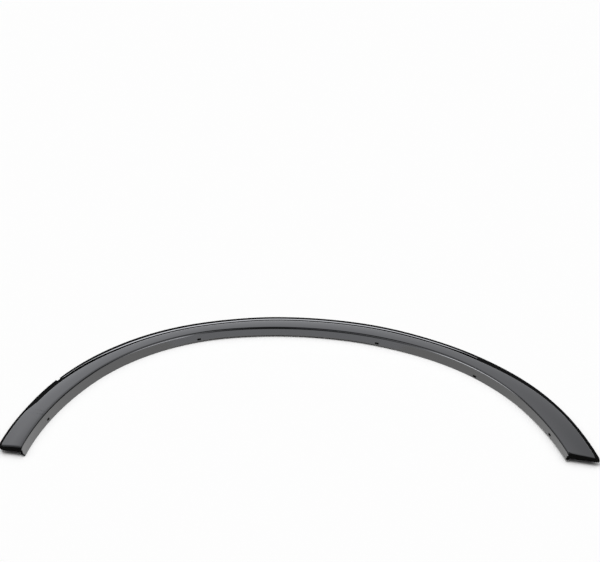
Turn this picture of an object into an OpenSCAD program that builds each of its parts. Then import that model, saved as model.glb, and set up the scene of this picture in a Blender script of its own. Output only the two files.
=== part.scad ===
// Wheel arch trim: one moulded shell bent round a wheel opening, lying face up.
// A smooth crowned face turns over a rounded fold into an inner flange with five clip slots.
// Outside the face a lower lip carries a raised rim; both ends are rolled down and closed.
// Millimetres. X runs along the trim, +Y to the top of the arch, +Z out of the face.
// The origin is the middle of the bounding box at floor level.
// Bearings are degrees round an arc's centre; stations are lengths along the fold from its left end.

/* [Fold line] */
// radius of the fold along the left leg
left_leg_r = 430; // [425:5:435]
// radius of the fold round the left shoulder
left_shoulder_r = 290; // [285:5:295]
// radius of the fold over the top of the arch
top_r = 460; // [455:5:465]
// radius of the fold round the right shoulder
right_shoulder_r = 324; // [320:1:328]
// radius of the fold along the right leg
right_leg_r = 511; // [494:1:528]
// bearing of the fold's left end
left_end = 168.9; // [168:0.1:170]
// bearing of the fold's right end
right_end = 13.8; // [13:0.1:15]

/* [Section] */
// height of the fold above the flange's free edge
fold_z = 14; // [13.5:0.25:15]
// outer radius of the fold
fold_round = 2.2; // [1.6:0.1:2.6]
// radius inside the fold
inner_round = 1; // [0.6:0.1:1.4]
// how far the flange leans in under the opening at its free edge
flange_lean = 4.5; // [3.5:0.5:5.5]
// wall thickness of the moulding
wall = 2.5; // [2.2:0.1:2.6]
// fall of the face where it leaves the fold, in degrees
face_fall = 1; // [0.5:0.5:1.5]
// radius of the face's crown across its width
crown_r = 300; // [280:10:340]
// height of the lip's upper side above the flange's free edge
lip_z = 10; // [9.75:0.25:10.25]
// height of the lip's back above the flange's free edge
back_z = 7.5; // [7:0.25:7.5]
// height of the end walls' lower edge above the flange's free edge
end_wall_z = 8; // [7.75:0.05:8.25]

/* [Widths] */
// face width on the left leg
left_face_w = 29.3; // [28.6:0.1:30]
// face width beside the plain lip, above the left leg
step_face_w = 24.9; // [24:0.1:25.6]
// face width on the left shoulder
shoulder_face_w = 18.2; // [17.6:0.1:19.4]
// face width over the top of the arch
top_face_w = 21.8; // [21:0.1:22.6]
// face width on the right shoulder
narrow_face_w = 18.8; // [18:0.1:19.6]
// face width on the right leg
right_face_w = 33.1; // [32.4:0.1:33.8]
// fold to the lip's outer edge on the left leg
left_lip_w = 33.9; // [33.2:0.1:34.4]
// fold to the outer edge of the plain lip at the notch
plain_lip_w = 35.1; // [34.8:0.1:35.8]
// fold to the outer edge of the rimmed lip at the notch
rim_lip_w = 34.1; // [33.8:0.1:34.6]
// fold to the lip's outer edge on the left shoulder
shoulder_lip_w = 32.6; // [32:0.1:33.2]
// fold to the lip's outer edge over the top
top_lip_w = 35.5; // [34.8:0.1:36]
// fold to the lip's outer edge on the right shoulder
narrow_lip_w = 31.7; // [31.2:0.1:32.4]
// fold to the lip's outer edge on the right leg
right_lip_w = 38.9; // [38.2:0.1:39.6]

/* [Rim and notch] */
// height of the rim above the lip
rim_h = 1.2; // [0.8:0.1:1.4]
// width of the rim
rim_w = 3.2; // [2.4:0.1:3.6]
// share of the lip, outward from the face, at which the rim's middle runs
rim_share = 0.52; // [0.46:0.01:0.58]
// length of the notch in the lip
notch_len = 7; // [5:0.5:9]
// depth of the notch in the lip
notch_depth = 1.8; // [1:0.1:2.4]

/* [Clip slots] */
// length of a clip slot along the flange
slot_len = 6.4; // [5:0.1:8]
// width of a clip slot across the flange
slot_w = 2.8; // [2:0.1:3.2]
// height of the slot on the left leg
left_slot_z = 4.3; // [3.6:0.1:5]
// height of the two slots over the top, where the flange is shorter
top_slot_z = 5.2; // [5:0.1:6]
// height of the slot on the right shoulder
shoulder_slot_z = 3; // [2.8:0.1:4]
// height of the slot on the right leg, where the flange runs out
right_slot_z = 6.4; // [6.2:0.1:6.8]

/* [Ends] */
// radius from the face down into the end walls
end_round = 6.5; // [5.5:0.25:6.75]
// lean of the flange's ends back from upright, in degrees
end_lean = 38; // [30:1:42]
// radius of the left end's outer corner in plan
corner_r = 9; // [6:0.5:11]
// slant of the right end away from square, in degrees
right_slant = 28; // [24:1:30]
// radius of the right end's outer tip in plan
tip_r = 3; // [2:0.5:4]
// how much shorter the flange is over the top of the arch
relief = 2.8; // [2:0.2:3]
// how much shorter the flange has become at the right end
end_relief = 4.4; // [4:0.1:4.6]

/* [Detail] */
// facets round a whole circle of the fold line
arc_fn = 200; // [150:10:220]

/* [Hidden] */

// the fold line: five arcs that meet without a corner, in directions given as whole numbers
radii = [left_leg_r, left_shoulder_r, top_r, right_shoulder_r, right_leg_r];
meets = [[-4, 3], [-13, 84], [8, 15], [15, 8]];
function bearing_of(v) = atan2(v[1], v[0]);
overrun = 5;
bearings = concat([left_end + overrun], [for (v = meets) bearing_of(v)], [right_end - overrun]);
first_centre = [51.6, -236.1];
last = len(radii) - 1;
function unit(a) = [cos(a), sin(a)];
function step_to(i) = (radii[i - 1] - radii[i]) * meets[i - 1] / norm(meets[i - 1]);
function centre(i) = i == 0 ? first_centre : centre(i - 1) + step_to(i);
function arc_len(i) = radii[i] * (bearings[i] - bearings[i + 1]) * PI / 180;
left_over = radii[0] * overrun * PI / 180;
function len_to(i) = i == 0 ? -left_over : len_to(i - 1) + arc_len(i - 1);
function arc_at(s, i = 0) = i == last || s < len_to(i + 1) ? i : arc_at(s, i + 1);
function bearing_at(s, i) = bearings[i] - (s - len_to(i)) / radii[i] * 180 / PI;
function off_fold(s, w) = let (i = arc_at(s), a = bearing_at(s, i)) centre(i) + (radii[i] + w) * unit(a);

// stations where the widths change, from the left end and back from the right end
step_a = 80;
step_b = 104;
narrowing_a = 135;
notch_s = 159;
left_narrow_a = 275;
left_narrow_b = 385;
crown_a = 495;
end_s = len_to(last) + (bearings[last] - right_end) * PI / 180 * radii[last];
merge_s = end_s - 69;
relief_s = end_s - 197;
right_narrow_b = end_s - 262;
right_narrow_a = end_s - 285;
crown_b = end_s - 422;
rim_end = end_s - 240;
slots = [
    [85, left_slot_z],
    [376, top_slot_z],
    [end_s - 391, top_slot_z],
    [end_s - 230, shoulder_slot_z],
    [end_s - 58, right_slot_z]
];

function smooth(t) = t * t * (3 - 2 * t);
function ease(s, a, b, from, to) =
    s <= a ? from : s >= b ? to : from + (to - from) * smooth((s - a) / (b - a));

// distance from the fold to the step between face and lip
function face_w(s) =
    s < step_b ? left_face_w + (step_face_w - left_face_w) * max(0, s - step_a) / (step_b - step_a)
    : s < left_narrow_b ? ease(s, narrowing_a, left_narrow_a, step_face_w, shoulder_face_w)
    : s < crown_b ? ease(s, left_narrow_b, crown_a, shoulder_face_w, top_face_w)
    : s < right_narrow_b ? ease(s, crown_b, right_narrow_a, top_face_w, narrow_face_w)
    : ease(s, right_narrow_b, merge_s, narrow_face_w, right_face_w);

// distance from the fold to the lip's outer edge
function lip_w(s) =
    s < notch_s ? ease(s, step_a, notch_s, left_lip_w, plain_lip_w)
    : s < left_narrow_b ? ease(s, notch_s, left_narrow_a, rim_lip_w, shoulder_lip_w)
    : s < crown_b ? ease(s, left_narrow_b, crown_a, shoulder_lip_w, top_lip_w)
    : s < right_narrow_b ? ease(s, crown_b, right_narrow_a, top_lip_w, narrow_lip_w)
    : ease(s, right_narrow_b, merge_s, narrow_lip_w, right_lip_w);

// distance from the fold to the middle of the rim
function rim_line(s) = face_w(s) + rim_share * (lip_w(s) - face_w(s));

pitch = 18;
wide_pitch = 70;
function stations(a, b, step = pitch) = let (n = ceil((b - a) / step)) [for (k = [0:n]) a + (b - a) * k / n];
past_end = 22;
before_notch = notch_s - 0.01;
after_notch = notch_s + notch_len;
lip_stations = concat(stations(-past_end, before_notch), stations(after_notch, end_s + past_end));
face_stations = concat(stations(-past_end, step_a), stations(step_b, end_s + past_end));
rim_stations = stations(after_notch, rim_end);
open_stations = stations(-past_end, end_s + past_end, wide_pitch);
relief_ramp = 120;
corner_reach = 8;

// section values, measured outward from the fold corner
far = 46;
open_w = 8;
clear = 1;
top = fold_z + clear;
crown_c = [-crown_r * sin(face_fall), fold_z - crown_r * cos(face_fall)];
function crown_z(d, inset) = crown_c[1] + sqrt(pow(crown_r - inset, 2) - pow(d - crown_c[0], 2));
lean_angle = atan2(flange_lean, fold_z);
function flange_x(z) = (z - fold_z) * tan(lean_angle);
fold_angle = 90 + lean_angle - face_fall;
function fold_tangent(r) = r / tan(fold_angle / 2);
function fold_centre(corner, r) = corner + r / sin(fold_angle / 2) * unit(-face_fall - fold_angle / 2);
flange_back = wall / cos(lean_angle);
share_r = 640;
lap = 0.5;
fold_steps = 6;
inner_steps = 3;
crown_steps = 7;
function sweep(c, r, a, b, n) = [for (k = [0:n]) c + r * unit(a + (b - a) * k / n)];
function round_fold(corner, r, n) = sweep(fold_centre(corner, r), r, 180 - lean_angle, 90 - face_fall, n);
function crown_points(a, b, inset) =
    [for (k = [0:crown_steps]) let (d = a + (b - a) * k / crown_steps) [d, crown_z(d, inset)]];

// solid profile under the face, with the fold rounded
module profile() {
    polygon(concat(
        [[flange_x(0), 0]],
        round_fold([0, fold_z], fold_round, fold_steps),
        crown_points(2 * fold_tangent(fold_round), far, 0),
        [[far, 0]]
    ));
}

// the hollow behind the face
module hollow_profile() {
    corner_d = flange_x(fold_z - wall) + flange_back;
    corner = [corner_d, crown_z(corner_d, wall)];
    polygon(concat(
        [[flange_x(-clear) + flange_back, -clear]],
        round_fold(corner, inner_round, inner_steps),
        crown_points(corner_d + 2 * fold_tangent(inner_round), far + clear, wall),
        [[far + clear, -clear]]
    ));
}

// one arc's share of the plan, out to the lines where it meets its neighbours
function side(k) =
    k == 0 || k > last ? share_r * unit(bearings[k])
    : ceil(share_r / norm(meets[k - 1])) * meets[k - 1];
module share(i) {
    linear_extrude(4 * top, center = true)
        polygon([centre(i), centre(i) + side(i), centre(i) + side(i + 1)]);
}

// turns a profile round one arc of the fold, between two bearings
module along(i, from, to) {
    translate(centre(i))
        rotate([0, 0, to])
            rotate_extrude(angle = from - to, $fn = arc_fn)
                translate([radii[i], 0])
                    children();
}

module along_fold() {
    for (i = [0:last])
        intersection() {
            along(i, bearings[i] + lap, bearings[i + 1] - lap)
                children();
            share(i);
        }
}

// what a round of one radius leaves out of a corner, between two inward bearings
module corner_waste(p, a, b, r) {
    half = abs(a - b) / 2;
    middle = unit((a + b) / 2);
    c = p + r / sin(half) * middle;
    t = r / tan(half);
    difference() {
        polygon([
            p - corner_reach * middle,
            p + t * unit(a) - corner_reach / 2 * unit(b),
            p + t * unit(a),
            c,
            p + t * unit(b),
            p + t * unit(b) - corner_reach / 2 * unit(a)
        ]);
        translate(c)
            circle(r = r, $fn = 72);
    }
}

// side view of what an end leaves out: the face rolls down, and the flange's end leans back
module end_waste_side(inset) {
    c = [end_round, fold_z - end_round];
    r = end_round - inset;
    low = c + r * unit(180 + end_lean);
    drop = low[1] + 3 * clear;
    polygon(concat(
        sweep(c, r, 90, 180 + end_lean, end_steps),
        [low + [drop * tan(end_lean), -drop], [-far, -3 * clear], [-far, top + clear], [c[0], top + clear]]
    ));
}

end_steps = 9;

// places a side view at one end of the fold, drawn out across the leg and tilted with the face
module across_end(s, bearing, fall) {
    translate(concat(off_fold(s, 0), fold_z))
        rotate([0, 0, bearing])
            rotate([fall, 0, 0])
                translate([0, 0, -fold_z])
                    rotate([90, 0, 0])
                        linear_extrude(3 * far, center = true)
                            children();
}

function leg_fall(w) = atan((fold_z - crown_z(w, 0)) / w);
right_line = right_end - right_slant;

// the outer corners of the two ends in plan, moved inward by the inset
left_turns = [left_end - 180, left_end - 90];
right_turns = [right_line + 180, right_end + 90];
function moved_in(p, turns, inset) =
    p + inset / sin(abs(turns[0] - turns[1]) / 2) * unit((turns[0] + turns[1]) / 2);
left_tip = off_fold(0, left_lip_w);
function cross_edge(q, d, r) = -q * d + sqrt(pow(q * d, 2) + r * r - q * q);
right_q = off_fold(end_s, 0) - centre(last);
right_tip = off_fold(end_s, 0)
    + cross_edge(right_q, unit(right_line), right_leg_r + right_lip_w) * unit(right_line);

module end_waste(inset) {
    across_end(0, left_end - 90, -leg_fall(left_lip_w))
        end_waste_side(inset);
    across_end(end_s, right_line + 90, leg_fall(right_lip_w))
        end_waste_side(inset);
    linear_extrude(3 * top, center = true) {
        corner_waste(moved_in(left_tip, left_turns, inset), left_turns[0], left_turns[1], corner_r - inset);
        corner_waste(moved_in(right_tip, right_turns, inset), right_turns[0], right_turns[1], tip_r - inset);
    }
}

// plan of everything inside a line that follows the fold
function behind_fold(s) = off_fold(s, -far);
module inside(edge_points) {
    polygon(concat(edge_points, [behind_fold(end_s + past_end), centre(2), behind_fold(-past_end)]));
}

module solid() {
    intersection() {
        along_fold()
            profile();
        translate([0, 0, -clear])
            linear_extrude(top + clear)
                inside([for (s = lip_stations) off_fold(s, lip_w(s))]);
    }
}

// the two end walls, as they stand in the way of the hollow
module end_walls() {
    intersection() {
        end_waste(wall);
        translate([-share_r, -share_r, end_wall_z])
            cube([2 * share_r, 2 * share_r, top]);
    }
}

module hollow() {
    difference() {
        intersection() {
            along_fold()
                hollow_profile();
            translate([0, 0, -2 * clear])
                linear_extrude(top + clear)
                    inside([for (s = face_stations) off_fold(s, face_w(s) - wall)]);
        }
        end_walls();
    }
}

// below the lip's back, from inside the hollow to outside the trim
module behind_lip() {
    outer = [for (s = open_stations) off_fold(s, far + clear)];
    inner = [for (k = [len(open_stations) - 1:-1:0]) off_fold(open_stations[k], open_w)];
    translate([0, 0, -clear])
        linear_extrude(back_z + clear)
            polygon(concat(outer, inner));
}

// above the lip, outside the step from the face
module above_lip() {
    outer = [for (k = [len(open_stations) - 1:-1:0]) off_fold(open_stations[k], far + clear)];
    translate([0, 0, lip_z])
        linear_extrude(top)
            polygon(concat([for (s = face_stations) off_fold(s, face_w(s))], outer));
}

module rim() {
    outer = [for (s = rim_stations) off_fold(s, rim_line(s) + rim_w / 2)];
    count = len(rim_stations) - 1;
    inner = [for (k = [count:-1:0]) let (s = rim_stations[k]) off_fold(s, rim_line(s) - rim_w / 2)];
    translate([0, 0, (lip_z + back_z) / 2])
        linear_extrude((lip_z - back_z) / 2 + rim_h)
            polygon(concat(outer, inner));
}

module notch() {
    linear_extrude(top)
        polygon([
            off_fold(notch_s, rim_lip_w - notch_depth),
            off_fold(after_notch, rim_lip_w - notch_depth),
            off_fold(after_notch, far),
            off_fold(notch_s, far)
        ]);
}

module clip_slot(s, z) {
    half = (slot_len - slot_w) / 2;
    translate(concat(off_fold(s, 0), z))
        rotate([0, 0, bearing_at(s, arc_at(s))])
            rotate([0, 90, 0]) {
                for (y = [-half, half])
                    translate([0, y, 0])
                        cylinder(h = 4 * wall, r = slot_w / 2, center = true, $fn = 32);
                cube([slot_w, 2 * half, 4 * wall], center = true);
            }
}

// the flange's free edge rises over the top of the arch and toward the right end
module flange_relief() {
    a = off_fold(left_narrow_a, 0)[0];
    b = off_fold(right_narrow_a, 0)[0];
    c = off_fold(relief_s, 0)[0];
    d = off_fold(end_s, 0)[0];
    rotate([90, 0, 0])
        linear_extrude(2 * top_r, center = true) {
            polygon([
                [a, 0], [a + relief_ramp, relief], [b - relief_ramp, relief], [b, 0],
                [b, -clear], [a, -clear]
            ]);
            polygon([[c, 0], [2 * d - c, 2 * end_relief], [2 * d - c, -clear], [c, -clear]]);
        }
}

// each stage takes one kind of waste from the stage before
module stepped() {
    difference() {
        solid();
        above_lip();
    }
}

module shelled() {
    difference() {
        stepped();
        hollow();
    }
}

module backed() {
    difference() {
        shelled();
        behind_lip();
    }
}

module ended() {
    difference() {
        backed();
        end_waste(0);
    }
}

module relieved() {
    difference() {
        ended();
        flange_relief();
    }
}

module finished() {
    difference() {
        relieved();
        notch();
        for (slot = slots)
            clip_slot(slot[0], slot[1]);
    }
}

module arch_trim() {
    color("black")
        union() {
            finished();
            rim();
        }
}

arch_trim();
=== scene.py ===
"""Looks of a gloss black wheel arch trim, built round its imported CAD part.

The trim is laid out in millimetres: a station s along its fold line, a distance w outward from it and a
height z over the floor. What goes to Blender is in metres.
"""

import logging
import math
from dataclasses import dataclass, field
from enum import IntEnum
from typing import NamedTuple

import bpy
import numpy as np
from mathutils import Matrix, Vector

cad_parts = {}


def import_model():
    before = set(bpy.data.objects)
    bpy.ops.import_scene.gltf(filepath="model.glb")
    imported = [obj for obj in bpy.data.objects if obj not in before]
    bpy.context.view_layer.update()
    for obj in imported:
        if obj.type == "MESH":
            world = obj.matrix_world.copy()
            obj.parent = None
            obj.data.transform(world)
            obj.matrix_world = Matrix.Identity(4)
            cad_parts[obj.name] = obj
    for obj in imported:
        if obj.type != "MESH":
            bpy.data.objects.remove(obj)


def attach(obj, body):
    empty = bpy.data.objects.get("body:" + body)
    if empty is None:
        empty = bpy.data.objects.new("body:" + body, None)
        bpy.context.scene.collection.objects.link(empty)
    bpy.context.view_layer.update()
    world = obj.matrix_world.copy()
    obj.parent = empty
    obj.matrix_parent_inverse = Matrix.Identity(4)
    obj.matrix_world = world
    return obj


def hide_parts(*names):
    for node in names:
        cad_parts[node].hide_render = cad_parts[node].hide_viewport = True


logging.basicConfig(level=logging.INFO, format="%(message)s")
log = logging.getLogger("wheel_arch_trim")

ROOT = "root"
NODE = "arch_trim"
MM = 0.001
HAIR = 0.01  # a height, in millimetres, that is too small to see
Array = np.ndarray
Triple = tuple[float, float, float]
Pairs = tuple[tuple[float, float], ...]
Socket = bpy.types.NodeSocket

# The rim's section: share of the way from its inner edge to its outer one, and share of its height.
RIM_SHAPE = ((0.0, 0.0), (0.03, 0.45), (0.07, 0.82), (0.13, 0.97), (0.20, 1.0), (0.28, 0.97), (0.42, 0.90),
             (0.62, 0.76), (0.80, 0.60), (0.90, 0.46), (0.96, 0.22), (1.0, 0.0))
RIM_GLOSS = (0.25, 0.90)  # the rim is glossy between these shares of its width; its flanks outside get the matt black as painted shade beside the rim


class Zone(IntEnum):
    """Which finish a face of the trim carries, in the order of its material slots."""

    GLOSS = 0
    # LIP_AND_SHADE: the lip's real matt black; the same slot also paints shade on the end walls, the step
    # and the rim's flanks
    LIP_AND_SHADE = 1
    BACK = 2


class End(IntEnum):
    """The two ends of the trim."""

    LEFT = 0
    RIGHT = 1


class Ramp(NamedTuple):
    """A smooth change: where it starts and stops, and the value before and after."""

    start: float
    stop: float
    low: float = 0.0
    high: float = 1.0


def unit(bearing: Array) -> Array:
    """Gives the plan directions of bearings in degrees, x and y in the last axis."""
    turn = np.radians(bearing)
    return np.stack([np.cos(turn), np.sin(turn)], axis=-1)


def smooth(share: Array) -> Array:
    """Eases a share between 0 and 1, clipped at both."""
    t = np.clip(share, 0.0, 1.0)
    return t * t * (3 - 2 * t)


def ease(s: Array, a: float, b: float, start: float, stop: float) -> Array:
    """Gives for each station s the value start up to a, stop from b on, and an eased one between."""
    return start + (stop - start) * smooth((s - a) / (b - a))


def quads(a: Array, b: Array, c: Array, d: Array) -> Array:
    """Lists the faces whose corners stand in four nets of point numbers."""
    return np.stack([a, b, c, d], axis=-1).reshape(-1, 4)


def put(name: str, data: bpy.types.ID) -> bpy.types.Object:
    """Puts a new object with its data into the scene.

    Args:
        name: Its name.
        data: Its mesh, light or camera.

    Returns:
        The object.
    """
    made = bpy.data.objects.new(name, data)
    bpy.context.scene.collection.objects.link(made)
    return made


@dataclass(frozen=True)
class FoldLine:
    """The fold between face and flange in plan: five arcs that meet without a corner, in millimetres."""

    radii: tuple[float, ...] = (430.0, 290.0, 460.0, 324.0, 511.0)
    meets: Pairs = ((-4, 3), (-13, 84), (8, 15), (15, 8))
    left_end: float = 168.9
    right_end: float = 13.8
    right_slant: float = 28.0
    overrun: float = 5.0
    first_centre: tuple[float, float] = (51.6, -236.1)

    def bearings(self) -> Array:
        """Gives the bearing at which each arc starts, and the last one's end."""
        inner = [math.degrees(math.atan2(y, x)) for x, y in self.meets]
        return np.array([self.left_end + self.overrun, *inner, self.right_end - self.overrun])

    def centres(self) -> Array:
        """Places the centre of each arc on the line that the arc before it ends on.

        Returns:
            The centres, x and y in the last axis.
        """
        found = [np.array(self.first_centre)]
        for i, meet in enumerate(self.meets):
            along = np.array(meet) / math.hypot(*meet)
            found.append(found[-1] + (self.radii[i] - self.radii[i + 1]) * along)
        return np.array(found)

    def starts(self) -> Array:
        """Gives the station at which each arc starts, with the left end at 0."""
        lengths = -np.array(self.radii) * np.radians(np.diff(self.bearings()))
        return np.concatenate([[0.0], np.cumsum(lengths[:-1])]) - self.radii[0] * math.radians(self.overrun)

    def length(self) -> float:
        """Gives the station of the right end."""
        turn = math.radians(self.bearings()[-2] - self.right_end)
        return float(self.starts()[-1] + turn * self.radii[-1])

    def point(self, s: Array, w: Array) -> Array:
        """Places points by station and by distance outward from the fold.

        Args:
            s: Stations.
            w: Distances outward.

        Returns:
            Plan positions, x and y in the last axis.
        """
        starts = self.starts()
        i = np.clip(np.searchsorted(starts, s, side="right") - 1, 0, len(starts) - 1)
        radius = np.array(self.radii)[i]
        bearing = self.bearings()[i] - np.degrees((s - starts[i]) / radius)
        return self.centres()[i] + (radius + w)[..., None] * unit(bearing)

    def from_left(self, w: Array, d: Array) -> Array:
        """Finds the station at a distance from the left end's line, for each width."""
        return self.radii[0] * np.arcsin(np.clip(d / (self.radii[0] + w), -1, 1))

    def from_right(self, w: Array, d: Array) -> Array:
        """Finds the station at a distance from the right end's slanted line.

        Args:
            w: Distances outward.
            d: Distances in from the line.

        Returns:
            The station for each width.
        """
        lean = 90 - self.right_slant
        reach = (d + self.radii[-1] * math.cos(math.radians(lean))) / (self.radii[-1] + w)
        turn = lean - np.degrees(np.arccos(np.clip(reach, -1, 1)))
        return self.length() - np.radians(turn) * self.radii[-1]


@dataclass(frozen=True)
class Widths:
    """Widths of face, lip and rim along the fold, in millimetres. Names in _back count from the right."""

    left_face: float = 29.3
    step_face: float = 24.9
    shoulder_face: float = 18.2
    top_face: float = 21.8
    narrow_face: float = 18.8
    right_face: float = 33.4
    left_lip: float = 33.9
    plain_lip: float = 35.1
    rim_lip: float = 34.1
    shoulder_lip: float = 32.6
    top_lip: float = 35.5
    narrow_lip: float = 31.7
    right_lip: float = 38.9
    step_a: float = 80.0
    step_b: float = 104.0
    narrowing_a: float = 135.0
    notch_s: float = 159.0
    notch_len: float = 7.0
    notch_depth: float = 1.8
    left_narrow_a: float = 275.0
    left_narrow_b: float = 385.0
    crown_a: float = 495.0
    crown_b_back: float = 422.0
    right_narrow_a_back: float = 285.0
    right_narrow_b_back: float = 262.0
    relief_back: float = 197.0
    merge_back: float = 69.0
    rim_share: float = 0.52
    rim_half: float = 1.6
    rim_most: float = 0.3
    rim_h: float = 1.2
    rim_slim: float = 2.35
    rim_full: float = 5.6
    rim_slim_s: float = 200.0
    rim_full_s: float = 320.0
    rim_losses: tuple[Triple, ...] = ((430.0, 340.0, 1.2), (310.0, 250.0, 2.4))
    rim_start: float = 4.0
    rim_fade: float = 30.0
    rim_end_back: float = 240.0
    relief: float = 2.8
    relief_ramp: float = 120.0
    end_relief: float = 4.4

    def face(self, s: Array, end_s: float) -> Array:
        """Gives the distance from the fold to the step between face and lip.

        Args:
            s: Stations.
            end_s: Station of the right end.

        Returns:
            The face's width at each station.
        """
        share = np.clip((s - self.step_a) / (self.step_b - self.step_a), 0, 1)
        leg = self.left_face + (self.step_face - self.left_face) * share
        left = ease(s, self.narrowing_a, self.left_narrow_a, self.step_face, self.shoulder_face)
        top = ease(s, self.left_narrow_b, self.crown_a, self.shoulder_face, self.top_face)
        crown_b, narrow_a, narrow_b, merge = self.backs(end_s)
        right = ease(s, crown_b, narrow_a, self.top_face, self.narrow_face)
        flare = ease(s, narrow_b, merge, self.narrow_face, self.right_face)
        return np.select([s < self.step_b, s < self.left_narrow_b, s < crown_b, s < narrow_b],
                         [leg, left, top, right], flare)

    def lip(self, s: Array, end_s: float) -> Array:
        """Gives the distance from the fold to the lip's outer edge, with its notch.

        Args:
            s: Stations.
            end_s: Station of the right end.

        Returns:
            The lip's reach at each station.
        """
        leg = ease(s, self.step_a, self.notch_s, self.left_lip, self.plain_lip)
        left = ease(s, self.notch_s, self.left_narrow_a, self.rim_lip, self.shoulder_lip)
        top = ease(s, self.left_narrow_b, self.crown_a, self.shoulder_lip, self.top_lip)
        crown_b, narrow_a, narrow_b, merge = self.backs(end_s)
        right = ease(s, crown_b, narrow_a, self.top_lip, self.narrow_lip)
        flare = ease(s, narrow_b, merge, self.narrow_lip, self.right_lip)
        out = np.select([s < self.notch_s, s < self.left_narrow_b, s < crown_b, s < narrow_b],
                        [leg, left, top, right], flare)
        notched = (s > self.notch_s) & (s < self.notch_s + self.notch_len)
        return np.where(notched, self.rim_lip - self.notch_depth, out)

    def backs(self, end_s: float) -> tuple[float, float, float, float]:
        """Gives the stations that are measured back from the right end."""
        return (end_s - self.crown_b_back, end_s - self.right_narrow_a_back,
                end_s - self.right_narrow_b_back, end_s - self.merge_back)

    def rim_span(self, s: Array, end_s: float) -> Array:
        """Gives the width of the rim: narrow on the left leg, wide over the arch, narrow where it fades."""
        lost = sum(ease(s, end_s - start, end_s - stop, 0.0, -loss) for start, stop, loss in self.rim_losses)
        return ease(s, self.rim_slim_s, self.rim_full_s, self.rim_slim, self.rim_full) + lost

    def rim_rise(self, s: Array, end_s: float) -> Array:
        """Gives the height of the rim over the lip: it starts at the notch and fades out on the right."""
        fade = smooth((s - (end_s - self.rim_end_back) + self.rim_fade) / self.rim_fade)
        return self.rim_h * smooth((s - self.notch_s - self.notch_len) / self.rim_start) * (1 - fade)


@dataclass(frozen=True)
class Section:
    """Sizes of the moulding's section in millimetres; face_fall and end_lean are in degrees."""

    fold_z: float = 14.0
    fold_round: float = 2.2
    inner_round: float = 1.0
    flange_lean: float = 4.5
    wall: float = 2.5
    face_fall: float = 1.0
    crown_r: float = 300.0
    lip_z: float = 10.0
    back_z: float = 7.5
    end_wall_z: float = 8.0
    end_round: float = 6.5
    end_lean: float = 38.0
    corner_r: float = 9.0
    tip_r: float = 3.0
    small_round: float = 0.5
    crisp_round: float = 0.25
    shoulder: float = 0.12
    shoulder_w: float = 1.9
    edge_round: float = 0.7

    def crown_z(self, w: Array, inset: float = 0.0) -> Array:
        """Gives the height of the crowned face, or of a skin at a depth under it."""
        fall, r = math.radians(self.face_fall), self.crown_r
        return self.fold_z - r * math.cos(fall) + np.sqrt((r - inset) ** 2 - (w + r * math.sin(fall)) ** 2)

    def face_z(self, w: Array) -> Array:
        """Gives the height of the face, which turns over a little before it reaches the fold."""
        near = self.fold_round / math.tan(math.radians((90 + self.lean() - self.face_fall) / 2))
        return self.crown_z(w) - self.shoulder * np.clip(1 - (w - near) / self.shoulder_w, 0, 1) ** 2

    def flange_w(self, z: Array) -> Array:
        """Gives where the leaning flange is at a height."""
        return (z - self.fold_z) * self.flange_lean / self.fold_z

    def lean(self) -> float:
        """Gives the flange's lean from upright in degrees."""
        return math.degrees(math.atan2(self.flange_lean, self.fold_z))

    def wall_across(self) -> float:
        """Gives the thickness of the leaning flange, measured level."""
        return self.wall / math.cos(math.radians(self.lean()))

    def fold_arc(self, corner: tuple[float, float], radius: float, count: int) -> tuple[Array, Array]:
        """Rounds the corner between flange and face.

        Args:
            corner: Where the two straight lines would meet.
            radius: Radius of the round.
            count: Number of points.

        Returns:
            Widths and heights, from the flange to the face.
        """
        angle = 90 + self.lean() - self.face_fall
        mid = math.radians(-self.face_fall - angle / 2)
        reach = radius / math.sin(math.radians(angle / 2))
        turn = np.radians(np.linspace(180 - self.lean(), 90 - self.face_fall, count))
        return (corner[0] + reach * math.cos(mid) + radius * np.cos(turn),
                corner[1] + reach * math.sin(mid) + radius * np.sin(turn))

    def hollow_corner(self) -> tuple[float, float]:
        """Gives where the inner sides of flange and face would meet."""
        w = float(self.flange_w(np.array(self.fold_z - self.wall))) + self.wall_across()
        return w, float(self.crown_z(np.array(w), self.wall))

    def roll(self, d: Array, radius: float) -> Array:
        """Gives how far a skin has rolled down at a distance in from the end, for the radius of its roll."""
        inward = np.clip(self.end_round - d, 0, radius)
        return radius - np.sqrt(radius ** 2 - inward ** 2)

    def wall_reach(self, z: Array, top: Array) -> Array:
        """Gives how far in from the end a skin stands, above or below the middle of the end's roll.

        Args:
            z: Height of the skin.
            top: Height of the face above it.

        Returns:
            The distance in from the end's line.
        """
        middle = top - self.end_round
        above = np.clip(z - middle, 0, self.end_round)
        below = np.clip(middle - z, 0, self.end_round)
        lean = math.radians(self.end_lean)
        turn = self.end_round * math.sin(lean)
        low = self.end_round - np.sqrt(self.end_round ** 2 - np.clip(below, 0, turn) ** 2)
        low = low + np.clip(below - turn, 0, None) * math.tan(lean)
        return self.end_round - np.sqrt(self.end_round ** 2 - above ** 2) + low


@dataclass(frozen=True)
class Columns:
    """What the section needs to know at every column of the net, in millimetres."""

    s: Array
    distance: Array
    side: Array
    face: Array
    lip: Array
    low: Array
    rise: Array
    rim_span: Array

    @property
    def one(self) -> Array:
        """Gives a 1 for every column."""
        return np.ones_like(self.s)


@dataclass
class Grid:
    """One skin of the moulding: columns along the fold and rows across the section."""

    w: list[Array] = field(default_factory=list)
    z: list[Array] = field(default_factory=list)
    extra: list[Array] = field(default_factory=list)
    rolled: list[float] = field(default_factory=list)

    def row(self, w: Array, z: Array, extra: Array, rolled: float = 1.0) -> None:
        """Adds a row.

        Args:
            w: Distance outward at each column.
            z: Height at each column.
            extra: How much farther in than the end line the row stops.
            rolled: Share of the end's roll that the row takes.
        """
        self.w.append(w)
        self.z.append(z)
        self.extra.append(extra)
        self.rolled.append(rolled)


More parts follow.
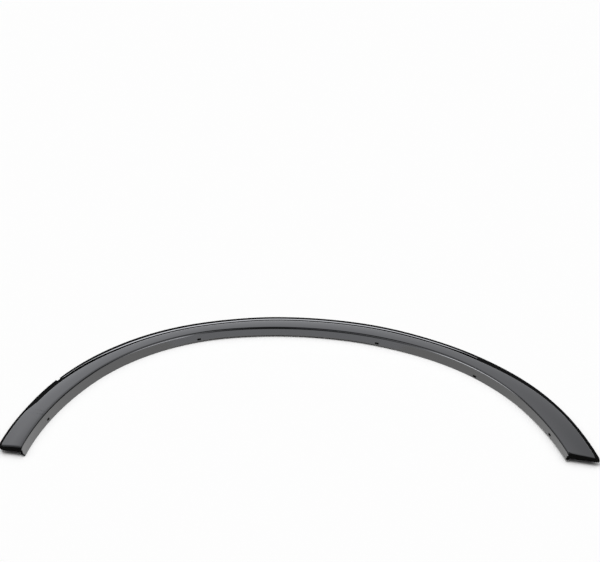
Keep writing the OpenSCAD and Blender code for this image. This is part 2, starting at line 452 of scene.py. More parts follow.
@dataclass
class Skins:
    """The outer skin, the inner one under it, and the zone of each strip between outer rows."""

    outer: Grid = field(default_factory=Grid)
    inner: Grid = field(default_factory=Grid)
    zones: list[Zone] = field(default_factory=list)


@dataclass(frozen=True)
class ArchTrim:
    """The trim: a thin moulding with a crowned face, an inner flange, and a low lip with a rim."""

    fold: FoldLine = FoldLine()
    widths: Widths = Widths()
    section: Section = Section()
    pitch: float = 4.0
    end_zone: float = 92.0
    end_marks: tuple[float, ...] = (7.2, 8.5, 10.5, 13.0)
    even_from: float = 16.0
    roll_columns: int = 11
    mark_gap: float = 0.04
    mark_room: float = 1.0
    notch_marks: tuple[float, ...] = (1.3, 2.6, 4.0)
    shear_hold: float = 34.0
    extra_zone: float = 20.0
    lean_zone: float = 12.0
    flange_rows: int = 11
    fold_rows: int = 11
    face_rows: int = 26
    slot_len: float = 6.4
    slot_w: float = 2.8
    slot_reach: float = 6.0
    slot_steps: int = 24
    tuck: float = 0.06
    # reach of the matt black in from each end, on the face and on the other strips: painted shade on the end
    # walls
    end_shade_wall: float = 3.4
    end_shade_foot: float = 0.9
    matt_rim: float = 0.35
    sharp_deg: float = 32.0

    @property
    def end_s(self) -> float:
        """Gives the station of the right end."""
        return self.fold.length()

    def stations(self) -> Array:
        """Lays out the columns: close on the rolled ends and at the notch, even elsewhere.

        Returns:
            The stations, before the ends are sheared to their lines.
        """
        turn = np.radians(np.linspace(0, 90, self.roll_columns))
        roll = self.section.end_round * (1 - np.cos(turn))
        near = np.concatenate([roll, self.end_marks, np.arange(self.even_from, self.end_zone, self.pitch)])
        start, stop = near[-1] + self.pitch, self.end_s - near[-1] - self.pitch
        middle = np.linspace(start, stop, int((stop - start) / self.pitch) + 1)
        notch, gap = self.widths.notch_s, self.mark_gap
        after = notch + self.widths.notch_len
        marks = [notch - gap, notch + gap, after - gap, after + gap, *(after + m for m in self.notch_marks),
                 self.widths.step_a, self.widths.step_b]
        middle = [m for m in middle if all(abs(m - mark) > self.mark_room for mark in marks)]
        return np.concatenate([near, np.sort(np.concatenate([middle, marks])), self.end_s - near[::-1]])

    def columns(self) -> Columns:
        """Works out the widths and heights at every column."""
        s, end_s, wide = self.stations(), self.end_s, self.widths
        return Columns(s=s, distance=np.minimum(s, end_s - s),
                       side=np.where(s < end_s / 2, End.LEFT, End.RIGHT),
                       face=wide.face(s, end_s), lip=wide.lip(s, end_s) - self.tuck,
                       low=self.relief(s), rise=wide.rim_rise(s, end_s), rim_span=wide.rim_span(s, end_s))

    def relief(self, s: Array) -> Array:
        """Gives the height of the flange's free edge over the floor.

        Args:
            s: Stations.

        Returns:
            The height at each station.
        """
        x = self.fold.point(s, np.zeros_like(s))[..., 0]
        wide = self.widths
        narrow_a = self.end_s - wide.right_narrow_a_back
        marks = np.array([wide.left_narrow_a, narrow_a, self.end_s - wide.relief_back, self.end_s])
        a, b, c, d = self.fold.point(marks, np.zeros(4))[:, 0]
        top = np.minimum((x - a) / wide.relief_ramp, (b - x) / wide.relief_ramp)
        return wide.relief * np.clip(top, 0, 1) + wide.end_relief * np.clip((x - c) / (d - c), 0, 1)

    def corner_stop(self, at: Columns, w: Array) -> Array:
        """Gives how much farther in a row stops because the end's outer corner is round in plan.

        Args:
            at: The columns.
            w: Distance outward of the row.

        Returns:
            The distance at each column.
        """
        radius = np.where(at.side == End.LEFT, self.section.corner_r, self.section.tip_r)
        slant = np.where(at.side == End.LEFT, 0.0, math.radians(self.fold.right_slant))
        out = np.clip((w - at.lip) / radius + 1, -np.sin(slant), 1)
        return radius * (1 + np.sin(slant) * out - np.cos(slant) * np.sqrt(1 - out ** 2))

    def wall_stop(self, at: Columns, w: Array, z: Array) -> Array:
        """Gives how much farther in a row stops where it meets the leaning end wall."""
        return self.section.wall_reach(z, self.section.crown_z(w)) + self.corner_stop(at, w)

    def draw_flange(self, at: Columns, net: Skins, top: float, hollow_top: float) -> None:
        """Draws the rounded free edge of the flange, then its height up to the fold.

        Args:
            at: The columns.
            net: The skins to add rows to.
            top: Height at which the fold begins outside.
            hollow_top: Height at which the fold begins inside.
        """
        sec, nip, fold = self.section, self.section.small_round, 0 * at.one
        foot, back = sec.flange_w(at.low), sec.wall_across()
        for turn, tuck in ((270.0, nip / 2), (225.0, 0.0)):
            a = math.radians(turn)
            z = at.low + nip + nip * math.sin(a)
            net.outer.row(foot + nip + nip * math.cos(a), z, self.wall_stop(at, fold, z), 0.0)
            net.inner.row(foot + back - tuck, at.low, self.wall_stop(at, fold, at.low), 0.0)
            net.zones.append(Zone.GLOSS)
        for k in range(self.flange_rows):
            share = k / self.flange_rows
            z = at.low + nip + (top - at.low - nip) * share
            net.outer.row(sec.flange_w(z), z, self.wall_stop(at, fold, z), share)
            y = at.low + nip + (hollow_top - at.low - nip) * share
            net.inner.row(sec.flange_w(y) + back, y, self.wall_stop(at, fold, y), share)
            net.zones.append(Zone.GLOSS)

    def draw_face(self, at: Columns, net: Skins, start: float, hollow_start: float) -> None:
        """Draws the crowned face as far as its outer edge, and the hollow under it.

        Args:
            at: The columns.
            net: The skins to add rows to.
            start: Distance outward at which the fold ends outside.
            hollow_start: Distance outward at which it ends inside.
        """
        sec = self.section
        for k in range(1, self.face_rows + 1):
            share = k / self.face_rows
            w = start + (at.face - sec.edge_round - start) * share
            net.outer.row(w, sec.face_z(w), self.corner_stop(at, w))
            v = hollow_start + (at.face - sec.wall - hollow_start) * share
            net.inner.row(v, sec.crown_z(v, sec.wall), self.corner_stop(at, v))
            net.zones.append(Zone.GLOSS)

    def draw_step(self, at: Columns, net: Skins) -> None:
        """Draws the rounded step from the face down to the lip, and the wall behind it.

        Args:
            at: The columns.
            net: The skins to add rows to.
        """
        sec, edge, nip = self.section, self.section.edge_round, self.section.small_round
        hip, wall = sec.crown_z(at.face - edge), at.face - sec.wall
        roof = sec.crown_z(wall, sec.wall)
        edge_turns, foot_turns = (67.5, 45.0, 22.5, 0.0), (180.0, 225.0, 270.0)
        drops = len(edge_turns) + len(foot_turns) - 1
        for k, turn in enumerate(edge_turns, start=1):
            a = math.radians(turn)
            w, z = at.face - edge + edge * math.cos(a), hip - edge + edge * math.sin(a)
            net.outer.row(w, z, self.wall_stop(at, w, z))
            net.inner.row(wall, roof + (sec.back_z - roof) * k / drops, self.corner_stop(at, w))
            # the face's edge round below its first row, and the step's foot, get the matt black as painted
            # shade on the step
            net.zones.append(Zone.GLOSS if turn == edge_turns[0] else Zone.LIP_AND_SHADE)
        for k, turn in enumerate(foot_turns, start=len(edge_turns) + 1):
            a = math.radians(turn)
            w, z = at.face + nip + nip * math.cos(a), sec.lip_z + nip + nip * math.sin(a)
            net.outer.row(w, z * at.one, self.wall_stop(at, w, z))
            clear = 0.4 if turn == foot_turns[-1] else 0.0
            net.inner.row(wall + clear, roof + (sec.back_z - roof) * min(1.0, k / drops),
                          self.wall_stop(at, w, sec.back_z * at.one))
            net.zones.append(Zone.LIP_AND_SHADE)

    def draw_lip(self, at: Columns, net: Skins) -> None:
        """Draws the lip with its rim, steep inside and sloping outward, and its outer edge.

        Args:
            at: The columns.
            net: The skins to add rows to.
        """
        sec, crisp, back = self.section, self.section.crisp_round, self.section.back_z * at.one
        room = at.lip - at.face
        rim_out = at.face + self.widths.rim_share * room
        rim_out = rim_out + np.minimum(self.widths.rim_half, self.widths.rim_most * room)
        rim_in = np.maximum(rim_out - at.rim_span, at.face + 2 * sec.small_round)
        inner_foot, inner_share = at.face - sec.wall + 0.5, 0.97
        for across, lift in RIM_SHAPE:
            w, z = rim_in + (rim_out - rim_in) * across, sec.lip_z + at.rise * lift
            net.outer.row(w, z, self.wall_stop(at, w, z))
            net.inner.row(inner_foot + (w - inner_foot) * inner_share, back, self.wall_stop(at, w, back))
            # the rim's flanks get the matt black as painted shade beside the rim; its top stays glossy
            net.zones.append(Zone.GLOSS if RIM_GLOSS[0] < across < RIM_GLOSS[1] else Zone.LIP_AND_SHADE)
        for turn, inset in ((90.0, 1.3), (60.0, 1.1), (30.0, 0.9), (0.0, 0.7)):
            a = math.radians(turn)
            w, z = at.lip - crisp + crisp * math.cos(a), sec.lip_z - crisp + crisp * math.sin(a)
            net.outer.row(w, z * at.one, self.wall_stop(at, w, z * at.one))
            net.inner.row(at.lip - inset, back, self.wall_stop(at, w, back))
            net.zones.append(Zone.LIP_AND_SHADE)
        stop = self.wall_stop(at, at.lip, back)
        net.outer.row(at.lip, back + 0.2, stop)
        net.inner.row(at.lip - 0.4, back, stop)

    def skins(self, at: Columns) -> Skins:
        """Draws the whole section at every column, from the flange's free edge to the lip's outer edge.

        Args:
            at: The columns.

        Returns:
            The two skins and the zones.
        """
        sec, net = self.section, Skins()
        fold_w, fold_z = sec.fold_arc((0.0, sec.fold_z), sec.fold_round, self.fold_rows)
        hollow_w, hollow_z = sec.fold_arc(sec.hollow_corner(), sec.inner_round, self.fold_rows)
        self.draw_flange(at, net, fold_z[0], hollow_z[0])
        for k in range(self.fold_rows):
            sunk = sec.shoulder * (k / (self.fold_rows - 1)) ** 2
            net.outer.row(fold_w[k] * at.one, (fold_z[k] - sunk) * at.one, 0 * at.one)
            net.inner.row(hollow_w[k] * at.one, hollow_z[k] * at.one, 0 * at.one)
            net.zones.append(Zone.GLOSS)
        self.draw_face(at, net, fold_w[-1], hollow_w[-1])
        self.draw_step(at, net)
        self.draw_lip(at, net)
        return net

    def place(self, skin: Grid, at: Columns, depth: float) -> Array:
        """Turns a skin's rows into points, its ends sheared to their lines and rolled down.

        Args:
            skin: The skin.
            at: The columns.
            depth: Wall between the outer skin and this one.

        Returns:
            Points in metres: columns, rows, then x, y and z.
        """
        sec, outside = self.section, depth == 0.0
        rim_top = sec.lip_z + self.widths.rim_h + HAIR
        fade = np.clip(1 - at.distance / self.extra_zone, 0, 1)
        shear = 1 - smooth((at.distance - self.shear_hold) / (self.end_zone - self.pitch - self.shear_hold))
        rows = []
        for w, z, extra, rolled in zip(skin.w, skin.z, skin.extra, skin.rolled):
            whole = rolled >= 1.0
            inset = depth if whole and float(np.max(z)) > sec.back_z + HAIR else 0.0
            d = at.distance + (extra + inset) * fade
            fall = sec.roll(d, sec.end_round - inset) * rolled
            lowest = sec.end_wall_z if whole else -1.0
            height = np.where(fall > 0, np.maximum(z - fall, np.minimum(z, lowest)), z)
            if outside and whole:
                under_face = np.minimum(z, np.maximum(sec.crown_z(w) - fall, lowest))
                height = np.where(z < rim_top, under_face, height)
            near = np.clip(1 - np.abs(w) / self.lean_zone, 0, 1)
            width = w - np.where(rolled > 0, sec.flange_lean / sec.fold_z * (z - height) * near, 0.0)
            left, right = self.fold.from_left(width, d), self.fold.from_right(width, d)
            line_s = np.where(at.side == End.LEFT, left, right)
            plan = self.fold.point(at.s + (line_s - at.s) * shear, width)
            rows.append(np.concatenate([plan, height[:, None]], axis=1))
        return np.stack(rows, axis=1) * MM

    def mesh(self) -> bpy.types.Mesh:
        """Builds the closed mesh of the moulding, without its slots.

        Returns:
            The mesh, with a material index on every face.
        """
        at = self.columns()
        net = self.skins(at)
        top = self.place(net.outer, at, 0.0)
        under = self.place(net.inner, at, self.section.wall)
        cols, rows = top.shape[:2]
        points = np.concatenate([top.reshape(-1, 3), under.reshape(-1, 3)])
        up = np.arange(cols * rows).reshape(cols, rows)
        low = up + cols * rows
        strips = np.where(self.matt_and_shade_faces(at, net.zones), Zone.LIP_AND_SHADE, np.tile(net.zones, cols - 1))
        sides = [
            (quads(up[:-1, :-1], up[1:, :-1], up[1:, 1:], up[:-1, 1:]), strips),
            (quads(low[:-1, :-1], low[:-1, 1:], low[1:, 1:], low[1:, :-1]), Zone.BACK),
            (quads(up[:-1, 0], low[:-1, 0], low[1:, 0], up[1:, 0]), Zone.GLOSS),
            (quads(up[:-1, -1], up[1:, -1], low[1:, -1], low[:-1, -1]), Zone.LIP_AND_SHADE),
            # the two end caps get the matt black as painted shade
            (quads(up[0, :-1], up[0, 1:], low[0, 1:], low[0, :-1]), Zone.LIP_AND_SHADE),
            (quads(up[-1, :-1], low[-1, :-1], low[-1, 1:], up[-1, 1:]), Zone.LIP_AND_SHADE)]
        faces = np.concatenate([side for side, _ in sides])
        zones = np.concatenate([np.broadcast_to(zone, len(side)) for side, zone in sides])
        made = bpy.data.meshes.new("arch_moulding")
        made.from_pydata(points.tolist(), [], faces.tolist())
        made.polygons.foreach_set("material_index", zones.astype(np.int32))
        return made

    def matt_and_shade_faces(self, at: Columns, zones: list[Zone]) -> Array:
        """Finds the outer faces that get the matt black: the end walls, where it is painted shade, and the
        lip without a rim, where it is the lip's own finish.

        Args:
            at: The columns.
            zones: Zone of each strip.

        Returns:
            True for each outer face that is matt.
        """
        rimless = np.maximum(at.rise[:-1], at.rise[1:]) < self.matt_rim
        strip = np.arange(len(zones))
        on_lip = strip > zones.index(Zone.LIP_AND_SHADE)
        on_face = strip >= 2 + self.flange_rows + self.fold_rows // 2
        near = np.minimum(at.distance[:-1], at.distance[1:])[:, None]
        # the matt black within these reaches of the ends is painted shade on the end walls
        end = np.where(on_face[None, :], near < self.end_shade_wall, near < self.end_shade_foot)
        return ((rimless[:, None] & on_lip[None, :]) | end).reshape(-1)

    def slots(self) -> list[tuple[float, float]]:
        """Lists the clip slots: station and height of each."""
        return [(85.0, 4.3), (376.0, 5.2), (self.end_s - 391, 5.2), (self.end_s - 230, 3.0),
                (self.end_s - 58, 6.4)]

    def cutter(self) -> bpy.types.Object:
        """Builds one object that holds the shape of every clip slot.

        Returns:
            The cutter, in the scene.
        """
        points: list[tuple[float, ...]] = []
        faces: list[list[int]] = []
        steps, half = self.slot_steps, (self.slot_len - self.slot_w) / 2
        for s, z in self.slots():
            x, y = self.fold.point(np.array(s), np.array(0.0))
            inward = self.fold.point(np.array(s), np.array(-100.0))
            spin = Matrix.Rotation(math.atan2(y - inward[1], x - inward[0]), 3, "Z")
            base = len(points)
            for depth in (-self.slot_reach, self.slot_reach):
                for k in range(steps):
                    a = 2 * math.pi * (k + 0.5) / steps
                    along = math.cos(a) * self.slot_w / 2 + math.copysign(half, math.cos(a))
                    local = Vector((depth, along, math.sin(a) * self.slot_w / 2))
                    points.append(tuple((spin @ local + Vector((x, y, z))) * MM))
            near, far = [base + k for k in range(steps)], [base + steps + k for k in range(steps)]
            faces += [near[::-1], far]
            faces += [[near[k], near[k - steps + 1], far[k - steps + 1], far[k]] for k in range(steps)]
        mesh = bpy.data.meshes.new("slot_cutter")
        mesh.from_pydata(points, [], faces)
        return put("slot_cutter", mesh)

    def cut_slots(self, piece: bpy.types.Object) -> None:
        """Cuts the clip slots through the moulding and smooths its shading.

        Args:
            piece: The dressed moulding.
        """
        cutter = self.cutter()
        cutter.data.materials.append(piece.data.materials[Zone.GLOSS])
        cut = piece.modifiers.new("slots", "BOOLEAN")
        cut.operation = "DIFFERENCE"
        cut.solver = "EXACT"
        cut.object = cutter
        bpy.context.view_layer.update()
        graph = bpy.context.evaluated_depsgraph_get()
        finished = bpy.data.meshes.new_from_object(piece.evaluated_get(graph))
        piece.modifiers.remove(cut)
        piece.data = finished
        bpy.data.objects.remove(cutter)
        finished.polygons.foreach_set("use_smooth", [True] * len(finished.polygons))
        finished.set_sharp_from_angle(angle=math.radians(self.sharp_deg))

    def dress(self, piece: bpy.types.Object) -> None:
        """Gives the moulding its three finishes, in the order of Zone."""
        for finish in (GlossBlack(), MattBlackAndShade(), MouldedBack()):
            piece.data.materials.append(finish.material())

    def build(self) -> bpy.types.Object:
        """Builds the moulding, dresses it and cuts its slots.

        Returns:
            The finished piece.
        """
        piece = put("arch_moulding", self.mesh())
        self.dress(piece)
        self.cut_slots(piece)
        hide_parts(NODE)
        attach(piece, ROOT)
        return piece


@dataclass(frozen=True)
class Wiring:
    """Adds and joins nodes in one node tree."""

    tree: bpy.types.NodeTree

    def add(self, *kinds: str) -> list[bpy.types.Node]:
        """Adds one node of each kind."""
        return [self.tree.nodes.new(kind) for kind in kinds]

    def join(self, source: Socket, target: Socket) -> None:
        """Joins an output to an input."""
        self.tree.links.new(source, target)

    def reckon(self, operation: str, *given: Socket | float) -> Socket:
        """Adds a sum.

        Args:
            operation: What a Math node does with its inputs.
            given: Numbers, or outputs of other nodes.

        Returns:
            The result.
        """
        made, = self.add("ShaderNodeMath")
        made.operation = operation
        for socket, value in zip(made.inputs, given):
            if isinstance(value, (int, float)):
                socket.default_value = value
            else:
                self.join(value, socket)
        return made.outputs[0]

    def rise(self, value: Socket, ramp: Ramp) -> Socket:
        """Turns a value into a smooth change.

        Args:
            value: The value.
            ramp: The change.

        Returns:
            The changed value.
        """
        made, = self.add("ShaderNodeMapRange")
        made.interpolation_type = "SMOOTHSTEP"
        for name, number in zip(("From Min", "From Max", "To Min", "To Max"), ramp):
            made.inputs[name].default_value = number
        self.join(value, made.inputs["Value"])
        return made.outputs["Result"]

    def band(self, bearing: Socket, stops: Pairs, scale: float) -> Socket:
        """Reads a brightness off a ring of bearings.

        Args:
            bearing: The bearing, with the full turn from 0 to 1.
            stops: Bearings in degrees from -180 to 180, and the brightness at each.
            scale: The greatest brightness that the ring can hold.

        Returns:
            The brightness.
        """
        made, = self.add("ShaderNodeValToRGB")
        made.color_ramp.interpolation = "LINEAR"
        marks = made.color_ramp.elements
        while len(marks) < len(stops):
            marks.new(0.5)
        for mark, (degrees, value) in zip(marks, stops):
            mark.position = (degrees + 180) / 360
            mark.color = (value / scale,) * 3 + (1.0,)
        self.join(bearing, made.inputs[0])
        return self.reckon("MULTIPLY", made.outputs[0], scale)


def skin_group() -> bpy.types.NodeTree:
    """Builds the effect that every moulded face shares: a faint waviness and an uneven polish.

    Returns:
        The node group, made once.
    """
    known = bpy.data.node_groups.get("moulded_skin")
    if known:
        return known
    group = bpy.data.node_groups.new("moulded_skin", "ShaderNodeTree")
    for name in ("Grain Scale", "Wave Scale", "Polish Low", "Polish High"):
        group.interface.new_socket(name=name, in_out="INPUT", socket_type="NodeSocketFloat")
    for name in ("Height", "Roughness", "Mottle"):
        group.interface.new_socket(name=name, in_out="OUTPUT", socket_type="NodeSocketFloat")
    wires = Wiring(group)
    given, out, place, polish = wires.add("NodeGroupInput", "NodeGroupOutput", "ShaderNodeTexCoord",
                                          "ShaderNodeMapRange")
    grain, wave, cloud = wires.add(*["ShaderNodeTexNoise"] * 3)
    for noise, detail in ((grain, 2.0), (wave, 1.0), (cloud, 4.0)):
        noise.inputs["Detail"].default_value = detail
        wires.join(place.outputs["Object"], noise.inputs["Vector"])
    cloud.inputs["Scale"].default_value = 14.0
    wires.join(given.outputs["Grain Scale"], grain.inputs["Scale"])
    wires.join(given.outputs["Wave Scale"], wave.inputs["Scale"])
    height = wires.reckon("MULTIPLY_ADD", grain.outputs["Fac"], 0.25, wave.outputs["Fac"])
    wires.join(height, out.inputs["Height"])
    polish.inputs["From Min"].default_value = 0.35
    polish.inputs["From Max"].default_value = 0.65
    wires.join(cloud.outputs["Fac"], polish.inputs["Value"])
    wires.join(given.outputs["Polish Low"], polish.inputs["To Min"])
    wires.join(given.outputs["Polish High"], polish.inputs["To Max"])
    wires.join(polish.outputs["Result"], out.inputs["Roughness"])
    wires.join(cloud.outputs["Fac"], out.inputs["Mottle"])
    return group


@dataclass(frozen=True)
class Moulded:
    """What every finish of the moulding has: two near tones, uneven polish and a faint relief."""

    name: str
    dark: Triple
    light: Triple
    polish: tuple[float, float]
    grain_scale: float
    wave_scale: float
    bump: float
    bump_depth: float = 0.0001
    ior: float = 1.5
    specular: float = 0.5
    coat: float = 0.0
    coat_ior: float = 1.5
    coat_roughness: float = 0.02

    def material(self) -> bpy.types.Material:
        """Builds the material.

        Returns:
            The material.
        """
        made = bpy.data.materials.new(self.name)
        made.use_nodes = True
        wires = Wiring(made.node_tree)
        shader = made.node_tree.nodes["Principled BSDF"]
        skin, tone, relief = wires.add("ShaderNodeGroup", "ShaderNodeMix", "ShaderNodeBump")
        skin.node_tree = skin_group()
        for name, value in (("Grain Scale", self.grain_scale), ("Wave Scale", self.wave_scale),
                            ("Polish Low", self.polish[0]), ("Polish High", self.polish[1])):
            skin.inputs[name].default_value = value
        tone.data_type = "RGBA"
        tone.inputs[6].default_value = (*self.dark, 1.0)
        tone.inputs[7].default_value = (*self.light, 1.0)
        relief.inputs["Strength"].default_value = self.bump
        relief.inputs["Distance"].default_value = self.bump_depth
        wires.join(skin.outputs["Mottle"], tone.inputs[0])
        wires.join(tone.outputs[2], shader.inputs["Base Color"])
        wires.join(skin.outputs["Roughness"], shader.inputs["Roughness"])
        wires.join(skin.outputs["Height"], relief.inputs["Height"])
        wires.join(relief.outputs["Normal"], shader.inputs["Normal"])
        for name, value in (("IOR", self.ior), ("Specular IOR Level", self.specular),
                            ("Coat Weight", self.coat), ("Coat IOR", self.coat_ior),
                            ("Coat Roughness", self.coat_roughness)):
            shader.inputs[name].default_value = value
        return made


@dataclass(frozen=True)
class GlossBlack(Moulded):
    """Polished black moulding under a clear coat."""

    name: str = "gloss_black"
    dark: Triple = (0.005, 0.005, 0.0055)
    light: Triple = (0.008, 0.008, 0.0085)
    polish: tuple[float, float] = (0.03, 0.06)
    grain_scale: float = 1100.0
    wave_scale: float = 45.0
    bump: float = 0.05
    ior: float = 1.6
    coat: float = 1.0
    coat_ior: float = 1.6


@dataclass(frozen=True)
class MattBlackAndShade(Moulded):
    """Near-black and almost unreflecting: the lip's real matt finish, and painted shade on the end walls,
    the step and the rim's flanks.
    """

    name: str = "matt_black_and_painted_shade"
    dark: Triple = (0.002, 0.002, 0.002)
    light: Triple = (0.004, 0.004, 0.004)
    polish: tuple[float, float] = (0.55, 0.75)
    grain_scale: float = 2400.0
    wave_scale: float = 200.0
    bump: float = 0.25
    ior: float = 1.35
    specular: float = 0.06


@dataclass(frozen=True)
class MouldedBack(Moulded):
    """The hollow side as it leaves the mould: satin, with a coarse grain."""

    name: str = "moulded_back"
    dark: Triple = (0.012, 0.012, 0.0125)
    light: Triple = (0.02, 0.02, 0.021)
    polish: tuple[float, float] = (0.32, 0.48)
    grain_scale: float = 1600.0
    wave_scale: float = 120.0
    bump: float = 0.3
    ior: float = 1.45


@dataclass(frozen=True)
class Studio:
    """A plain studio: a white floor, a fill from above, one soft key lamp and the room that gloss shows.

    The two bands give the room's brightness by bearing, in degrees clockwise from the far side: low down and
    high up. Each Ramp runs along one axis of the direction in which gloss looks.
    """

    floor_half: float = 30.0
    floor_tone: float = 0.985
    fill: Ramp = Ramp(0.30, 0.95, 0.0, 1.104)
    key: float = 1.2
    key_from: Triple = (-0.26, -0.30, 0.92)
    key_spread_deg: float = 30.0
    scale: float = 3.0
    tint: Triple = (0.975, 0.99, 1.04)
    low: Pairs = (
        (-180, 0.05), (-150, 0.07), (-137, 0.25), (-129, 0.9), (-121, 2.8), (-104, 2.8), (-94, 2.0),
        (-84, 0.95), (-74, 0.18), (-40, 0.16), (-24, 0.62), (-15, 0.96), (0, 0.74), (8, 0.70), (14, 0.57),
        (25, 0.36), (45, 0.10), (60, 0.05), (90, 0.05), (101, 0.14), (111, 0.6), (122, 1.7), (143, 2.2),
        (149, 0.6), (157, 0.12), (180, 0.05))
    high: Pairs = (
        (-180, 0.03), (-142, 0.06), (-128, 0.4), (-115, 1.3), (-98, 1.2), (-78, 0.6), (-62, 0.14),
        (-42, 0.12), (-27, 0.55), (-9, 0.64), (9, 0.68), (26, 0.58), (40, 0.12), (62, 0.05), (76, 0.14),
        (92, 0.35), (110, 1.2), (137, 1.5), (147, 0.4), (158, 0.06), (180, 0.03))
    upper: Ramp = Ramp(0.53, 0.61)
    low_gain: Ramp = Ramp(0.40, 0.52, 1.25, 1.0)
    low_lift: Ramp = Ramp(0.26, 0.43, 2.1, 1.0)
    sink_aside: Ramp = Ramp(0.18, 0.30)
    sink_far: Ramp = Ramp(0.02, 0.20)
    sink_low: Ramp = Ramp(0.06, 0.30, 0.9, 0.0)
    overhead_gap: Ramp = Ramp(0.03, 0.08, 0.02, 1.0)
    near_glow: float = 1.05
    near_side: Ramp = Ramp(-0.20, 0.0, 1.0, 0.0)
    near_low: Ramp = Ramp(0.072, 0.10, 1.0, 0.0)

    def floor_paint(self) -> bpy.types.Material:
        """Builds the floor's matt white, which isn't drawn for a camera below the floor.

        Returns:
            The material.
        """
        paint = bpy.data.materials.new("white_floor")
        paint.use_nodes = True
        wires, shader = Wiring(paint.node_tree), paint.node_tree.nodes["Principled BSDF"]
        shader.inputs["Base Color"].default_value = (self.floor_tone,) * 3 + (1.0,)
        shader.inputs["Roughness"].default_value = 1.0
        shader.inputs["Specular IOR Level"].default_value = 0.0
        side, path = wires.add("ShaderNodeNewGeometry", "ShaderNodeLightPath")
        clear, pick = wires.add("ShaderNodeBsdfTransparent", "ShaderNodeMixShader")
        below = wires.reckon("MULTIPLY", side.outputs["Backfacing"], path.outputs["Is Camera Ray"])
        wires.join(below, pick.inputs[0])
        wires.join(shader.outputs[0], pick.inputs[1])
        wires.join(clear.outputs[0], pick.inputs[2])
        wires.join(pick.outputs[0], paint.node_tree.nodes["Material Output"].inputs["Surface"])
        return paint

    def floor(self) -> None:
        """Lays the floor."""
        half = self.floor_half
        mesh = bpy.data.meshes.new("floor")
        corners = [(-half, -half, 0.0), (half, -half, 0.0), (half, half, 0.0), (-half, half, 0.0)]
        mesh.from_pydata(corners, [], [(0, 1, 2, 3)])
        mesh.materials.append(self.floor_paint())
        made = put("floor", mesh)

    def lamp(self) -> None:
        """Hangs the soft key lamp, which lights but isn't itself seen in the gloss."""
        light = bpy.data.lights.new("key", "SUN")
        light.energy = self.key
        light.angle = math.radians(self.key_spread_deg)
        made = put("key", light)
        made.rotation_euler = Vector(self.key_from).to_track_quat("Z", "Y").to_euler()
        made.visible_glossy = False

    def room(self, wires: Wiring, x: Socket, y: Socket, z: Socket) -> Socket:
        """Reckons how bright the room is in the direction that gloss shows.

        Args:
            wires: The world's wiring.
            x: How far the direction points to the right.
            y: How far it points to the far side.
            z: How far it points up.

        Returns:
            The brightness.
        """
        reckon, rise = wires.reckon, wires.rise
        bearing = reckon("MULTIPLY_ADD", reckon("ARCTAN2", x, y), 0.5 / math.pi, 0.5)
        aside = reckon("ABSOLUTE", x)
        low = reckon("MULTIPLY", wires.band(bearing, self.low, self.scale), rise(z, self.low_gain))
        low = reckon("MULTIPLY", low, rise(z, self.low_lift))
        sides = reckon("MULTIPLY", rise(aside, self.sink_aside), rise(y, self.sink_far))
        sink = reckon("MULTIPLY", sides, rise(z, self.sink_low))
        low = reckon("SUBTRACT", low, reckon("MULTIPLY", low, sink))
        high = reckon("MULTIPLY", wires.band(bearing, self.high, self.scale), rise(aside, self.overhead_gap))
        mixed = reckon("MULTIPLY", reckon("SUBTRACT", high, low), rise(z, self.upper))
        room = reckon("ADD", low, mixed)
        hold = reckon("MULTIPLY", rise(y, self.near_side), rise(z, self.near_low))
        return reckon("ADD", room, reckon("MULTIPLY", reckon("SUBTRACT", self.near_glow, room), hold))

    def surround(self) -> None:
        """Makes the world: the room for gloss, plain white for the camera, and a fill from above."""
        world = bpy.data.worlds.new("studio")
        world.use_nodes = True
        bpy.context.scene.world = world
        world.node_tree.nodes.clear()
        wires = Wiring(world.node_tree)
        look, apart, toned = wires.add("ShaderNodeTexCoord", "ShaderNodeSeparateXYZ", "ShaderNodeMix")
        shown, lit, white = wires.add(*["ShaderNodeBackground"] * 3)
        gloss, seen = wires.add(*["ShaderNodeMixShader"] * 2)
        path, out = wires.add("ShaderNodeLightPath", "ShaderNodeOutputWorld")
        wires.join(look.outputs["Generated"], apart.inputs[0])
        x, y, z = apart.outputs
        toned.data_type = "RGBA"
        toned.blend_type = "MULTIPLY"
        toned.inputs[0].default_value = 1.0
        toned.inputs[7].default_value = (*self.tint, 1.0)
        wires.join(self.room(wires, x, y, z), toned.inputs[6])
        wires.join(toned.outputs[2], shown.inputs["Color"])
        wires.join(wires.rise(z, self.fill), lit.inputs["Color"])
        white.inputs["Color"].default_value = (1.0, 1.0, 1.0, 1.0)
        for mix, ray, plain_shader, picked in ((gloss, "Is Glossy Ray", lit, shown),
                                               (seen, "Is Camera Ray", gloss, white)):
            wires.join(path.outputs[ray], mix.inputs[0])
            wires.join(plain_shader.outputs[0], mix.inputs[1])
            wires.join(picked.outputs[0], mix.inputs[2])
        wires.join(seen.outputs[0], out.inputs["Surface"])

    def build(self) -> None:
        """Sets up the floor, the lamp and the surround."""
        self.floor()
        self.lamp()
        self.surround()


@dataclass(frozen=True)
class Viewpoint:
    """Where the photograph was taken from, in millimetres and degrees."""

    aim: Triple = (3.0, 292.0, 0.0)
    elevation: float = 32.0
    distance: float = 2908.0
    focal_px: float = 1888.4
    image_w: int = 600
    sensor: float = 36.0
    clip_m: tuple[float, float] = (0.05, 200.0)

    def build(self) -> None:
        """Places the camera."""
        lens = bpy.data.cameras.new("view")
        lens.sensor_fit = "HORIZONTAL"
        lens.sensor_width = self.sensor
        lens.lens = self.focal_px * self.sensor / self.image_w
        lens.clip_start, lens.clip_end = self.clip_m
        made = put("view", lens)
        tilt = math.radians(self.elevation)
        back = Vector((0.0, -math.cos(tilt), math.sin(tilt)))
        made.location = (Vector(self.aim) + back * self.distance) * MM
        made.rotation_euler = (math.pi / 2 - tilt, 0.0, 0.0)
        bpy.context.scene.camera = made


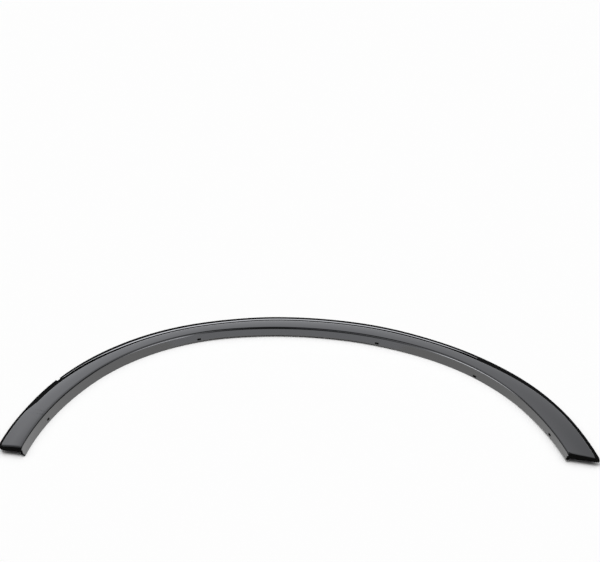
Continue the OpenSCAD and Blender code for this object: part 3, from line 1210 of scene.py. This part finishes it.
def main() -> None:
    """Builds the trim, the studio and the view in order, and logs each step."""
    bpy.context.scene.view_settings.view_transform = "Standard"
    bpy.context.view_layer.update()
    piece = ArchTrim().build()
    log.info("arch moulding: %d faces", len(piece.data.polygons))
    Studio().build()
    log.info("studio: floor, key lamp and surround")
    Viewpoint().build()
    log.info("view: camera set")


if __name__ == "__main__":
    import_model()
    main()
